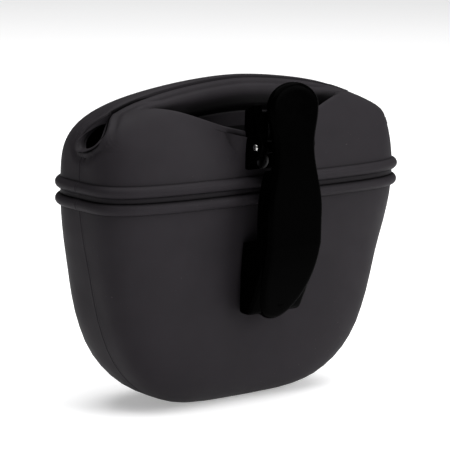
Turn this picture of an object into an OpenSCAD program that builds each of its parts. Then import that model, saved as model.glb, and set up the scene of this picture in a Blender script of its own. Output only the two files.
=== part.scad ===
// Hand-size silicone treat pouch with a magnetic slit mouth and a sprung belt clip.
// Origin: centre of the footprint, on the resting plane. +Z up, X along the pouch,
// clip on the -Y side, mouth slit in the plane y = 0.

/* [Pouch] */
// Overall height of the pouch, up to the top of the mouth arch
pouch_h = 115; // [95:1:150]
// Width of the wall at its widest level
pouch_w = 135; // [110:1:165]
// Depth from the mouth plane to the clip-side wall, at the widest level
rear_depth = 22.2; // [18:0.1:30]
// Depth from the mouth plane to the front wall, at the widest level
front_depth = 26; // [20:0.5:36]
// Width of the belly, where the bottom curve starts
belly_w = 123.5; // [100:0.5:150]
// Clip-side depth of the belly
rear_belly_depth = 18.4; // [15:0.1:26]
// Front depth of the belly
front_belly_depth = 29; // [20:0.5:38]
// Height of the belly level
belly_z = 49; // [35:1:55]
// Wall thickness
wall = 2.5; // [1.5:0.1:3.5]

/* [Ribs] */
// Half height of each half-round rib
rib_half_h = 2; // [1.2:0.1:2.5]
// How far a rib stands proud
rib_proud = 1.4; // [0.8:0.1:2]
// Height of the upper rib, which is also the widest level
rib_z = 81.5; // [75:0.5:84]
// Distance from the upper rib down to the lower one
rib_pitch = 5.8; // [5:0.1:8]

/* [Mouth] */
// Height of the two ends of the mouth slit
slit_end_z = 95; // [93:0.5:97]
// Height at which the lips start to bend
lip_root_z = 97; // [96:0.5:99]
// Play between the closed lips, and under them
lip_gap = 0.3; // [0.2:0.05:0.6]
// Thickness of the lip band
lip_t = 4.6; // [4.2:0.1:6]
// Height of the lip band, measured down from the arch
lip_band_h = 11; // [9:0.5:13]
// Half width of the teardrop opening at each end of the slit
teardrop_r = 3.5; // [1:0.1:4]
// Half length of the thickened lip band
band_half_l = 44; // [36:1:48]

/* [Hand recess] */
// Half length of the recess above the clip
recess_half_l = 46; // [36:1:52]
// Height of the recess floor at the clip
recess_z = 98; // [97.5:0.5:102]
// Height of the recess floor at its two ends
recess_end_z = 108.5; // [105:0.5:110]
// Height over which the wall turns inwards above the recess edge
recess_blend = 4; // [2:0.5:6]

/* [Magnets] */
// Length of a bar magnet
magnet_l = 20; // [10:1:26]
// Height of a bar magnet
magnet_h = 5; // [3:0.5:6]
// Thickness of a bar magnet
magnet_t = 2; // [1:0.1:2.4]
// Distance of a magnet's centre from the middle of the mouth
magnet_x = 21; // [14:1:30]
// Depth of the magnets' centre line below the arch, at their outer ends
magnet_drop = 4.507; // [3:0.001:7]
// Play between a magnet and its pocket
magnet_play = 0.05; // [0.02:0.01:0.2]

/* [Clip] */
// Width of the clip at its widest
clip_w = 24.6; // [20:0.2:32]
// Distance of the lever's outer face from the pin's axis, at its middle
clip_stand = 9.2; // [8:0.1:14]
// Height of the lever's lower tip
tip_z = 32.3; // [26:0.1:34]
// Height of the lever's top
head_z = 117; // [114:0.5:120]
// Width of the round head
head_w = 22.2; // [18:0.2:26]
// Play between the lever's waist and each ear of the bracket
waist_play = 0.3; // [0.2:0.05:1]
// Thickness of the lever's plate
lever_t = 3; // [2:0.1:4]
// How far the flange edges lie in front of the pin's axis: the belt passes behind them
flange_stand = 2; // [1.8:0.1:4]
// Thickness of a flange
flange_t = 2; // [1.2:0.1:3]
// Height of the jaw's upper face, the foot of the belt gap
jaw_top_z = 61; // [55:0.5:62]
// Height of the jaw's lower end
jaw_bottom_z = 38; // [36:0.5:42]
// Play between the jaw and the wall behind it
jaw_play = 0.3; // [0.3:0.05:1]

/* [Bracket] */
// How far the moulded seat, where the bracket's plate lies, is behind the wall's widest level
seat_in = 0.8; // [0.4:0.1:1.2]
// Thickness of the bracket's plate
plate_t = 2.2; // [1.6:0.1:3]
// Height of the plate's lower edge
plate_bottom_z = 86.2; // [86:0.1:87]
// Height of the plate's upper edge
plate_top_z = 106; // [100:0.5:107]
// Thickness of an ear
ear_t = 3.1; // [2:0.1:4]
// Radius of an ear round the pin
ear_r = 3.6; // [3:0.1:4]
// Thickness of the plate inside the pouch
backing_t = 1.5; // [1:0.1:2]
// Thickness of the wall at the seat
seat_wall = 5.2; // [5:0.1:6]

/* [Pin, spring and rivets] */
// Radius of the hinge pin
pin_r = 1.25; // [1:0.05:1.6]
// Play between the spring's coil and the bracket's plate
coil_play = 0.25; // [0.1:0.05:0.6]
// Height of the pin
pin_z = 94.4; // [93:0.1:96]
// How far each end of the pin stands out of its ear
pin_proud = 0.25; // [0:0.05:0.6]
// Radial play of the lever on the pin
running_play = 0.05; // [0.02:0.01:0.1]
// Radial play of the pin in the ears and of the rivets in their holes
fixed_play = 0.02; // [0.01:0.01:0.05]
// Radius of the spring's coil, to the middle of the wire
coil_r = 2.3; // [2:0.05:2.4]
// Thickness of the spring's wire
wire_d = 0.9; // [0.6:0.05:1]
// Number of whole turns, to which half a turn is added
coil_turns = 6; // [3:1:6]
// Radius of a rivet's shank
rivet_r = 1.6; // [1.2:0.1:2]
// Radius of a rivet's head
rivet_head_r = 2.7; // [2.2:0.1:3]
// Height of a rivet's head
rivet_head_h = 0.9; // [0.6:0.1:1.2]
// Play between a rivet's head and the ear beside it
rivet_play = 0.3; // [0.1:0.05:1]
// Height of the rivets
rivet_z = 89; // [88.9:0.1:89.2]

/* [Hidden] */
$fn = 48;

// Exponents of the wall's curves: how square each stretch of the outline is
bottom_fall = 1.566;
bottom_side = 1/3.6;
arch_rise = 3.95;
arch_side = 1/1.547;
depth_fall = 4.286;
depth_side = 1/2.2;
rear_rise = 1.198;
front_rise = 2.414;
crown_side = 1/2.45;
rear_square = 4.1;
front_square = 3.55;
// The flat that the pouch stands on, as a share of the bottom curve's height
flat_share = 0.975;
// Steps of the wall's mesh: round the whole pouch, and up a lip
ring_steps = 72;
lip_levels = 18;
// Sides and steps of the spring's wire
wire_sides = 8;
coil_steps = 20;

half_gap = lip_gap/2;
rib_low_z = rib_z - rib_pitch;
seat_half_w = clip_w/2 + 0.9;
seat_y = rear_depth - seat_in;
seat_inner_y = seat_y - seat_wall;
plate_y = seat_y + plate_t;
pin_y = plate_y + coil_r + wire_d/2 + coil_play;
clip_y = pin_y + clip_stand;
flange_y = pin_y + flange_stand;
waist_half = clip_w/2 - ear_t - waist_play;
rivet_x = clip_w/2 - ear_t - rivet_play - rivet_head_r;
knuckle_r = pin_y - plate_y - 0.3;
pin_l = clip_w + 2*pin_proud;
core_half = coil_turns*wire_d*0.8 + wire_d/2;

// ---- the wall's surface ----
function fall(z) = min(flat_share, max(0, (belly_z - z)/belly_z));
function rise(z, top) = min(1, max(0, (z - rib_z)/(top - rib_z)));
function swell(z, low, high) =
    low + (high - low)*sin(90*min(1, max(0, (z - belly_z)/(rib_z - belly_z))));
function half_width(z, top = pouch_h, inset = 0) =
    (swell(z, belly_w/2, pouch_w/2) - inset)
    *pow(1 - pow(fall(z), bottom_fall), bottom_side)*pow(1 - pow(rise(z, top), arch_rise), arch_side);
function depth(z, low, high, rise_power, top = pouch_h, inset = 0) =
    (swell(z, low, high) - inset)
    *pow(1 - pow(fall(z), depth_fall), depth_side)*pow(1 - pow(rise(z, top), rise_power), crown_side);
function rear(z, top = pouch_h, inset = 0) =
    depth(z, rear_belly_depth, rear_depth, rear_rise, top, inset);
function front(z, top = pouch_h, inset = 0) =
    depth(z, front_belly_depth, front_depth, front_rise, top, inset);
// Height of the mouth arch at x
function arch_z(x) =
    rib_z + (pouch_h - rib_z)*pow(1 - pow(min(1, abs(x)/(pouch_w/2)), 1/arch_side), 1/arch_rise);
// A point at angle t of a rounded rectangle with half sides a and b
function squircle(a, b, n, t) =
    let (k = pow(pow(abs(cos(t)), n) + pow(abs(sin(t)), n), -1/n)) [a*k*cos(t), b*k*sin(t)];
function rib(z) = rib_proud*(bump(z - rib_z) + bump(z - rib_low_z));
function bump(d) = sqrt(max(0, 1 - pow(d/rib_half_h, 2)));
function wall_point(z, t, top = pouch_h, inset = 0, grow = 0) =
    let (near = sin(t) < 0,
         a = half_width(z, top, inset) + grow,
         b = (near ? rear(z, top, inset) : front(z, top, inset)) + grow)
    squircle(a, b, near ? rear_square : front_square, t);

// ---- the hand recess above the clip ----
function smooth(s) = let (c = min(1, max(0, s))) c*c*(3 - 2*c);
function recess_edge(x) =
    recess_z + (recess_end_z - recess_z)*pow(sin(90*min(1, abs(x)/recess_half_l)), 2);
function recess(x, z) = smooth((z - recess_edge(x))/recess_blend);
function sink(y, x, z, floor_y) =
    let (deep = abs(y)) deep <= floor_y ? deep : deep + (floor_y - deep)*recess(x, z);

// ---- a ring-by-ring skin ----
// Faces between neighbouring rows of points; flip turns them inside out. They are cut into
// triangles along one diagonal in the first half of a row and along the other in the second,
// so that the two ends of the pouch mirror each other.
function grid(rows, cols, first, flip, closed) =
    [for (i = [0:rows - 2], j = [0:cols - (closed ? 1 : 2)])
        let (a = first + i*cols + j, b = first + i*cols + (j + 1)%cols,
             face = flip ? [a, a + cols, b + cols, b] : [a, b, b + cols, a + cols])
        j < cols/2 ? face : [face[1], face[2], face[3], face[0]]];
function halves(faces) = [for (f = faces) each [[f[0], f[1], f[2]], [f[0], f[2], f[3]]]];

cup_top = lip_root_z - half_gap;
rib_levels = [-1, -0.92, -0.6, 0, 0.6, 0.92, 1];
outer_levels = concat(
    [0, 2.2, 3.5, 5.5, 8, 12, 17, 23, 30, 38, belly_z, belly_z + 8, belly_z + 17],
    [for (s = rib_levels) rib_low_z + s*rib_half_h],
    [for (s = rib_levels) rib_z + s*rib_half_h],
    [rib_z + 5, rib_z + 9, cup_top]);
inner_levels = [wall, wall + 1.5, 7, 12, 18, 26, 36, belly_z, belly_z + 12, rib_low_z - 4,
                rib_z, rib_z + 6, rib_z + 10, cup_top];

module cup() {
    n = ring_steps;
    outer = [for (z = outer_levels, j = [0:n - 1])
        let (p = wall_point(z, j*360/n, grow = rib(z))) [p[0], p[1], z]];
    inner = [for (z = inner_levels, j = [0:n - 1])
        let (p = wall_point(z, j*360/n, inset = wall)) [p[0], p[1], z]];
    rows_out = len(outer_levels);
    rows_in = len(inner_levels);
    start_in = rows_out*n;
    rim_out = (rows_out - 1)*n;
    rim_in = start_in + (rows_in - 1)*n;
    rim = [for (j = [0:n - 1]) let (k = (j + 1)%n) [rim_out + j, rim_out + k, rim_in + k, rim_in + j]];
    polyhedron(concat(outer, inner), concat(
        [[for (j = [0:n - 1]) j]], [[for (j = [n - 1:-1:0]) start_in + j]],
        halves(grid(rows_out, n, 0, true, true)), halves(grid(rows_in, n, start_in, false, true)),
        halves([for (f = rim) [f[3], f[2], f[1], f[0]]])));
}

// Half of the crown, from the lip root up to the arch: side is -1 for the clip side
module crown(side) {
    m = ring_steps/2;
    n = lip_levels;
    low = lip_root_z + half_gap;
    thin = 0.2;
    function level(i, top) = low + (top - thin - low)*sin(90*i/n);
    function reach(y, x, z, floor_y) = side*(half_gap + (side < 0 ? sink(y, x, z, floor_y) : abs(y)));
    outer = [for (i = [0:n], j = [0:m]) let (z = level(i, pouch_h), p = wall_point(z, side*j*180/m))
        [p[0], reach(p[1], p[0], z, lip_t), z]];
    inner = [for (i = [0:n], j = [0:m])
        let (top = pouch_h - wall, z = level(i, top),
             p = wall_point(z, side*j*180/m, top, wall))
        [p[0], reach(p[1], p[0], z + wall*0.7, lip_t - wall), z]];
    cols = m + 1;
    first_in = (n + 1)*cols;
    top_out = n*cols;
    top_in = first_in + n*cols;
    foot = [for (j = [0:m - 1]) [j, first_in + j, first_in + j + 1, j + 1]];
    sides = [for (i = [0:n - 1]) each [
        [i*cols, (i + 1)*cols, first_in + (i + 1)*cols, first_in + i*cols],
        [first_in + i*cols + m, first_in + (i + 1)*cols + m, (i + 1)*cols + m, i*cols + m]]];
    faces = concat(
        halves(grid(n + 1, cols, 0, false, false)), halves(grid(n + 1, cols, first_in, true, false)),
        halves(foot), halves(sides), [[for (j = [0:m]) top_out + j]],
        [[for (j = [m:-1:0]) top_in + j]], [[top_out, top_out + m, top_in + m, top_in]]);
    polyhedron(concat(outer, inner),
        side > 0 ? [for (f = faces) [for (k = [len(f) - 1:-1:0]) f[k]]] : faces);
}

// Thickened band along the arch, which holds the magnets
module lip_band(side) {
    step = 4;
    below = 1;
    top = [for (x = [-band_half_l:step:band_half_l]) [x, arch_z(x) - below]];
    bottom = [for (x = [band_half_l:-step:-band_half_l]) [x, arch_z(x) - lip_band_h]];
    translate([0, side > 0 ? lip_t - 0.2 : -half_gap, 0]) rotate([90, 0, 0])
        linear_extrude(lip_t - 0.2 - half_gap) polygon(concat(top, bottom));
}

module teardrop(side) {
    top_z = slit_end_z + 11;
    round_z = slit_end_z + teardrop_r;
    arc = [for (a = [-180:20:0]) [teardrop_r*cos(a), round_z + teardrop_r*sin(a)]];
    translate([side*(pouch_w/2 - 14), 0, 0]) rotate([90, 0, side*90]) linear_extrude(16)
        polygon(concat(arc, [[teardrop_r*0.7, round_z + 4], [half_gap, top_z],
                             [-half_gap, top_z], [-teardrop_r*0.7, round_z + 4]]));
}

module pouch_body() {
    color([0.19, 0.18, 0.185]) difference() {
        union() {
            cup();
            translate([-seat_half_w, -seat_y, plate_bottom_z])
                cube([2*seat_half_w, seat_wall, cup_top - plate_bottom_z]);
        }
        // the wall is cut flush in front of the seat, and where the backing plate lies
        translate([-seat_half_w, -2*seat_y, plate_bottom_z])
            cube([2*seat_half_w, seat_y, cup_top - plate_bottom_z + 1]);
        backing_bar(fixed_play);
        for (s = [-1, 1]) {
            rivet_hole(s, fixed_play);
            teardrop(s);
        }
    }
}

module lip(side) {
    color([0.19, 0.18, 0.185]) difference() {
        union() {
            crown(side);
            lip_band(side);
        }
        for (s = [-1, 1]) {
            teardrop(s);
            magnet_slot(s, side);
        }
    }
}
module front_lip() { lip(1); }
module rear_lip() { lip(-1); }

// ---- magnets: each is pushed up into its slot from the inside of the lip ----
magnet_y = (lip_t - 0.2 + half_gap)/2;
magnet_z = arch_z(magnet_x + magnet_l/2) - magnet_drop;
module bar(side_x, side_y, play = 0, below = 0) {
    translate([side_x*magnet_x, side_y*magnet_y, magnet_z - below/2])
        cube([magnet_l + 2*play, magnet_t + 2*play, magnet_h + below + 2*play], center = true);
}
module magnet_slot(side_x, side_y) {
    slot_bottom_z = arch_z(magnet_x + magnet_l/2) - lip_band_h - 0.5;
    bar(side_x, side_y, magnet_play, magnet_z - magnet_h/2 - slot_bottom_z);
}
module front_magnet_left() { color("silver") bar(-1, 1); }
module front_magnet_right() { color("silver") bar(1, 1); }
module rear_magnet_left() { color("silver") bar(-1, -1); }
module rear_magnet_right() { color("silver") bar(1, -1); }

// ---- clip ----
// Half width of the lever at height z: round tip, belly, waist and round head
tip_end_z = 62;
lever_belly_z = 72;
waist_z = pin_z;
head_centre_z = head_z - 8.5;
function ease(z, z0, z1, a, b) = a + (b - a)*(1 - cos(180*(z - z0)/(z1 - z0)))/2;
function lever_half(z) =
    z < lever_belly_z ? clip_w/2*sqrt(max(0, 1 - pow(max(0, tip_end_z - z)/(tip_end_z - tip_z), 2.6)))
    : z < waist_z ? ease(z, lever_belly_z, waist_z, clip_w/2, waist_half)
    : z < head_centre_z ? ease(z, waist_z, head_centre_z, waist_half, head_w/2)
    : head_w/2*sqrt(max(0, 1 - pow((z - head_centre_z)/(head_z - head_centre_z), 2)));
// Distance of the lever's outer face from the mouth plane: it leans back to the head
// and curves in to the tip
curl_z = 60;
curl = 10.5;
lean = 2.8;
function lever_face(z) =
    z < curl_z ? clip_y - 0.2 - curl*pow((curl_z - z)/(curl_z - tip_z), 1.15)
    : clip_y - lean*pow(max(0, z - lever_belly_z)/(head_z - lever_belly_z), 1.2);

lever_levels = concat([for (a = [0:10:80]) tip_end_z - (tip_end_z - tip_z)*cos(a)],
    [for (z = [tip_end_z:3:head_centre_z]) z],
    [for (a = [10:10:90]) head_centre_z + (head_z - head_centre_z)*sin(a)]);

// Outline of the lever seen from the front, drawn in by inset
module lever_outline(inset = 0) {
    rotate([90, 0, 0]) linear_extrude(3*clip_y, center = true)
        polygon(concat([for (z = lever_levels) [max(0.05, lever_half(z) - inset), z]],
                       [for (i = [len(lever_levels) - 1:-1:0])
                        [-max(0.05, lever_half(lever_levels[i]) - inset), lever_levels[i]]]));
}
// A slab seen from the side, between two lists of [y, z] points
module side_slab(points, half_w) {
    rotate([90, 0, 90]) linear_extrude(2*half_w, center = true) polygon(points);
}
function between(low, high) = concat([low], [for (z = lever_levels) if (z > low && z < high) z], [high]);
function face_points(low, high, back) = [for (z = between(low, high)) [back - lever_face(z), z]];
function reversed(list) = [for (i = [len(list) - 1:-1:0]) list[i]];
module clip_lever() {
    knuckle_l = waist_half - core_half - 0.3;
    flange_top_z = plate_bottom_z + 0.6;
    color([0.02, 0.02, 0.022]) difference() {
        union() {
            intersection() {
                union() {
                    side_slab(concat(face_points(tip_z, head_z, 0),
                        reversed(face_points(tip_z, head_z, lever_t))), clip_w);
                    side_slab(concat(face_points(jaw_bottom_z, jaw_top_z, 1),
                        [for (z = [jaw_top_z, jaw_top_z - 4, jaw_top_z - 8, belly_z, jaw_bottom_z])
                         [-jaw_play - rear(max(z, belly_z) + 0.5), z]]), clip_w);
                }
                lever_outline();
            }
            difference() {
                intersection() {
                    side_slab(concat(face_points(jaw_top_z - 1, flange_top_z, 1),
                        [[-flange_y, flange_top_z], [-flange_y, jaw_top_z - 1]]), clip_w);
                    lever_outline();
                }
                intersection() {
                    translate([-clip_w, -clip_y, jaw_top_z])
                        cube([2*clip_w, clip_y, flange_top_z - jaw_top_z + 1]);
                    lever_outline(flange_t);
                }
            }
            for (s = [-1, 1]) translate([s*(waist_half - knuckle_l/2), 0, 0]) {
                translate([0, -pin_y, pin_z]) rotate([0, 90, 0])
                    cylinder(r = knuckle_r, h = knuckle_l, center = true);
                translate([-knuckle_l/2, 1 - lever_face(pin_z), pin_z - knuckle_r])
                    cube([knuckle_l, lever_face(pin_z) - 1 - pin_y, 2*knuckle_r]);
            }
        }
        pin_bore(running_play);
    }
}

module pin_bore(play) {
    translate([0, -pin_y, pin_z]) rotate([0, 90, 0])
        cylinder(r = pin_r + play, h = 2*clip_w, center = true);
}

module ear() {
    lip_clear = 0.8;
    top = [[-seat_y + lip_clear, plate_top_z + 0.8], [-seat_y - 4.2, plate_top_z + 3.4]];
    nose = [for (a = [20:-20:-80]) [-pin_y - ear_r*cos(a), pin_z + ear_r*sin(a)]];
    side_slab(concat([[-seat_y, plate_bottom_z + 1.4], [-seat_y, lip_root_z + 1],
        [-seat_y + lip_clear, lip_root_z + 2]], top, nose), ear_t/2);
}

module clip_bracket() {
    color([0.02, 0.02, 0.022]) difference() {
        union() {
            translate([-clip_w/2, -plate_y, plate_bottom_z])
                cube([clip_w, plate_t, plate_top_z - plate_bottom_z]);
            for (s = [-1, 1]) translate([s*(clip_w/2 - ear_t/2), 0, 0]) ear();
        }
        pin_bore(fixed_play);
        for (s = [-1, 1]) rivet_hole(s, fixed_play);
    }
}

module hinge_pin() {
    color("lightgrey") translate([0, -pin_y, pin_z]) rotate([0, 90, 0])
        cylinder(r = pin_r, h = pin_l, center = true);
}

// The bar inside the pouch that the rivets are closed on, grown sideways by play
module backing_bar(play = 0) {
    top_play = 1.5;
    side_in = 1;
    translate([-clip_w/2 + side_in - play, -seat_inner_y, plate_bottom_z - play])
        cube([clip_w - 2*side_in + 2*play, backing_t,
              cup_top - top_play - plate_bottom_z + 2*play]);
}
module backing_plate() {
    color([0.02, 0.02, 0.022]) difference() {
        backing_bar();
        for (s = [-1, 1]) rivet_hole(s, fixed_play);
    }
}

module rivet_hole(side, play = 0) {
    translate([side*rivet_x, 0, rivet_z]) rotate([90, 0, 0])
        cylinder(r = rivet_r + play, h = plate_y + 3);
}
module rivet(side) {
    inner_y = seat_inner_y - backing_t;
    color("lightgrey") translate([side*rivet_x, 0, rivet_z]) rotate([90, 0, 0]) {
        translate([0, 0, inner_y]) cylinder(r = rivet_r, h = plate_y - inner_y);
        translate([0, 0, inner_y - rivet_head_h]) cylinder(r = rivet_head_r, h = rivet_head_h);
        translate([0, 0, plate_y]) cylinder(r = rivet_head_r, h = rivet_head_h);
    }
}
module rivet_left() { rivet(-1); }
module rivet_right() { rivet(1); }

// ---- spring: a leg on the bracket's plate, the coil, and a leg on the lever's head ----
leg_top_z = pin_z + 9;
turn = coil_turns + 0.5;
function coil_point(a) = [-core_half + wire_d/2 + (2*core_half - wire_d)*a/(360*turn),
                          -pin_y + coil_r*cos(a), pin_z - coil_r*sin(a)];
coil_path = concat(
    [[-core_half + wire_d/2, -plate_y - wire_d/2 - 0.15, leg_top_z]],
    [for (i = [0:coil_steps*turn]) coil_point(i*360/coil_steps)],
    [[core_half - wire_d/2, -lever_face(leg_top_z) + lever_t + wire_d/2 + 0.2, leg_top_z]]);

function unit(v) = v/norm(v);
function tangent(path, i) =
    unit(path[min(len(path) - 1, i + 1)] - path[max(0, i - 1)]);
function wire_ring(path, i, r) =
    let (t = tangent(path, i), u = unit(cross(t, [1, 0, 0])), v = cross(t, u))
    [for (k = [0:wire_sides - 1]) path[i] + r*(cos(k*360/wire_sides)*u + sin(k*360/wire_sides)*v)];

module clip_spring() {
    count = len(coil_path);
    rings = [for (i = [0:count - 1]) each wire_ring(coil_path, i, wire_d/2)];
    last = (count - 1)*wire_sides;
    color("silver") polyhedron(rings, concat(
        [[for (k = [0:wire_sides - 1]) k]], [[for (k = [wire_sides - 1:-1:0]) last + k]],
        halves(grid(count, wire_sides, 0, true, true))));
}

pouch_body();
front_lip();
rear_lip();
front_magnet_left();
front_magnet_right();
rear_magnet_left();
rear_magnet_right();
clip_bracket();
clip_lever();
clip_spring();
hinge_pin();
backing_plate();
rivet_left();
rivet_right();
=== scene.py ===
"""Looks of a hand-size silicone treat pouch with a slit mouth and a sprung belt clip.

Every length is in metres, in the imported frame: +Z up, X along the pouch, the clip on the -Y
side and the mouth slit in the plane y = 0.
"""

import math

import bmesh
import bpy
import numpy as np
from bpy.props import FloatProperty, FloatVectorProperty, PointerProperty
from mathutils import Matrix, Vector, noise


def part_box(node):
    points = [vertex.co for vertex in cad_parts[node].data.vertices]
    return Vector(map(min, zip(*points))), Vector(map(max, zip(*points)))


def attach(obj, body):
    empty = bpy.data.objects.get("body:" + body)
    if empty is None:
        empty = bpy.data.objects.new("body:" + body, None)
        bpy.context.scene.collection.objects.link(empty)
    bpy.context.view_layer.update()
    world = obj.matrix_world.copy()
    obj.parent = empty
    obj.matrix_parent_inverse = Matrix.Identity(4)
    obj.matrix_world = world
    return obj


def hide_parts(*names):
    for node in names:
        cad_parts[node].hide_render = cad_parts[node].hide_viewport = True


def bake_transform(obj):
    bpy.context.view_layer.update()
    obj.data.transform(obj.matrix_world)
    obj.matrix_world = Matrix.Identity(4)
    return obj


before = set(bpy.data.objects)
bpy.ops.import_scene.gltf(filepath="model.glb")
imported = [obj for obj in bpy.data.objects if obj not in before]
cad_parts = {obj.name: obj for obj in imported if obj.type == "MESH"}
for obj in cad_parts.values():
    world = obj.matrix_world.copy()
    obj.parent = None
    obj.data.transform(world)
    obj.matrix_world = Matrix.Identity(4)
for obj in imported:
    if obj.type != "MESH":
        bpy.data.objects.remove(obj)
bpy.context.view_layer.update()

bl_info = {
    "name": "Silicone Treat Pouch",
    "version": (1, 0, 0),
    "blender": (4, 5, 0),
    "location": "3D Viewport > Sidebar > Treat Pouch",
    "description": "Builds a silicone treat pouch and its belt clip around their packed frame",
    "category": "Add Mesh",
}

MM = 0.001
WELD = 0.002 * MM
REAR, FRONT = -1, 1
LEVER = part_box("clip_lever")
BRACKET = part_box("clip_bracket")
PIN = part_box("hinge_pin")


def length(name, default, description):
    """A size in metres that a user may change."""
    return FloatProperty(
        name=name, description=description, default=default, unit="LENGTH", subtype="DISTANCE", precision=5
    )


def colour(name, default, description):
    """A colour that a user may change."""
    return FloatVectorProperty(
        name=name, description=description, default=default, subtype="COLOR", size=3, min=0.0, max=1.0
    )


class PouchSizes(bpy.types.PropertyGroup):
    """Sizes of the silicone pouch"""

    height: length("Height", 0.115, "Height of the top of the mouth arch")
    width: length("Width", 0.135, "Width at the upper rib")
    rear_depth: length("Rear depth", 0.0222, "From the mouth plane to the clip-side wall")
    front_depth: length("Front depth", 0.026, "From the mouth plane to the front wall")
    belly_width: length("Belly width", 0.1235, "Width where the bottom curve starts")
    rear_belly: length("Rear belly depth", 0.0184, "Clip-side depth at the belly")
    front_belly: length("Front belly depth", 0.029, "Front depth at the belly")
    belly_z: length("Belly height", 0.049, "Height of the belly level")
    wall: length("Wall", 0.0025, "Thickness of the wall")
    rib_z: length("Rib height", 0.0815, "Height of the upper rib")
    rib_pitch: length("Rib pitch", 0.0058, "From the upper rib down to the lower one")
    rib_half: length("Rib half height", 0.0021, "Half height of a rib")
    rib_proud: length("Rib proud", 0.0019, "How far a rib stands out")
    parting_groove: length("Parting line", 0.00016, "Depth of the moulded line between the halves")


class MouthSizes(bpy.types.PropertyGroup):
    """Sizes of the mouth, its lips and the hand recess"""

    slit_end_z: length("Slit end", 0.095, "Height of the two ends of the mouth slit")
    half_gap: length("Half gap", 0.00024, "Half of the play between the closed lips")
    lip_t: length("Lip thickness", 0.0044, "Thickness of the lip band")
    band_h: length("Band height", 0.011, "Height of the lip band below the arch")
    tear_near: length("Near bulge", 0.0073, "Opening of the teardrop on the clip side")
    tear_far: length("Far bulge", 0.0026, "Opening of the teardrop on the front side")
    tear_mid_z: length("Teardrop middle", 0.0996, "Height at which the teardrop is widest")
    tear_top_z: length("Teardrop top", 0.1062, "Height at which the teardrop closes to the slit")
    recess_z: length("Recess edge", 0.098, "Height of the recess edge at the clip")
    recess_end_z: length("Recess end", 0.1085, "Height of the recess edge at its two ends")
    recess_half_l: length("Recess half length", 0.046, "Half length of the hand recess")
    trench: length("Recess trench", 0.011, "How far the recess dips behind its edge")
    seat_y: length("Seat", 0.0214, "Distance of the clip's seat from the mouth plane")


class ClipSizes(bpy.types.PropertyGroup):
    """Sizes of the belt clip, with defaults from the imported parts"""

    face_y: length("Face", -LEVER[0].y, "Distance of the lever's outer face from the mouth plane")
    half_w: length("Half width", LEVER[1].x, "Half width of the lever at its widest")
    waist_half: length("Waist half width", 0.0089, "Half width between the ears")
    head_half: length("Head half width", 0.0111, "Half width of the round head")
    plate_t: length("Plate thickness", 0.003, "Thickness of the lever's plate")
    flange_t: length("Flange thickness", 0.002, "Thickness of a flange")
    flange_y: length("Flange edge", 0.0286, "Distance of the flange edges from the mouth plane")
    jaw_top_z: length("Jaw top", 0.061, "Height of the jaw's upper face")
    jaw_low_z: length("Jaw bottom", 0.0348, "Height of the jaw's lower end")
    edge_r: length("Edge radius", 0.0017, "Radius of the rounded edge of the lever's face")
    wire_d: length("Spring wire", 0.0009, "Thickness of the spring's wire")
    coil_r: length("Coil radius", 0.0023, "Radius of the coil to the middle of the wire")


class Finishes(bpy.types.PropertyGroup):
    """Colours of the materials"""

    silicone: colour("Silicone", (0.0162, 0.0143, 0.0166), "Matte charcoal silicone")
    dust: colour("Dust", (0.075, 0.070, 0.072), "Fine lint that silicone holds")
    plastic: colour("Clip plastic", (0.0002, 0.0002, 0.0002), "Glossy black plastic")
    steel: colour("Steel", (0.62, 0.61, 0.60), "Hinge pin")
    rivet: colour("Rivets", (0.012, 0.012, 0.013), "Blackened rivets")
    spring: colour("Spring steel", (0.020, 0.020, 0.021), "Blackened spring wire")
    nickel: colour("Magnet plating", (0.70, 0.68, 0.64), "Nickel plating of the magnets")
    floor: colour("Floor", (0.88, 0.88, 0.885), "Pale plain floor")


def clamp(v):
    return np.clip(v, 0.0, 1.0)


def smooth(v):
    """Goes from 0 to 1 with level ends as v does."""
    c = clamp(v)
    return c * c * (3 - 2 * c)


def lerp(a, b, w):
    return a + (b - a) * w


# ---------------------------------------------------------------- materials


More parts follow.
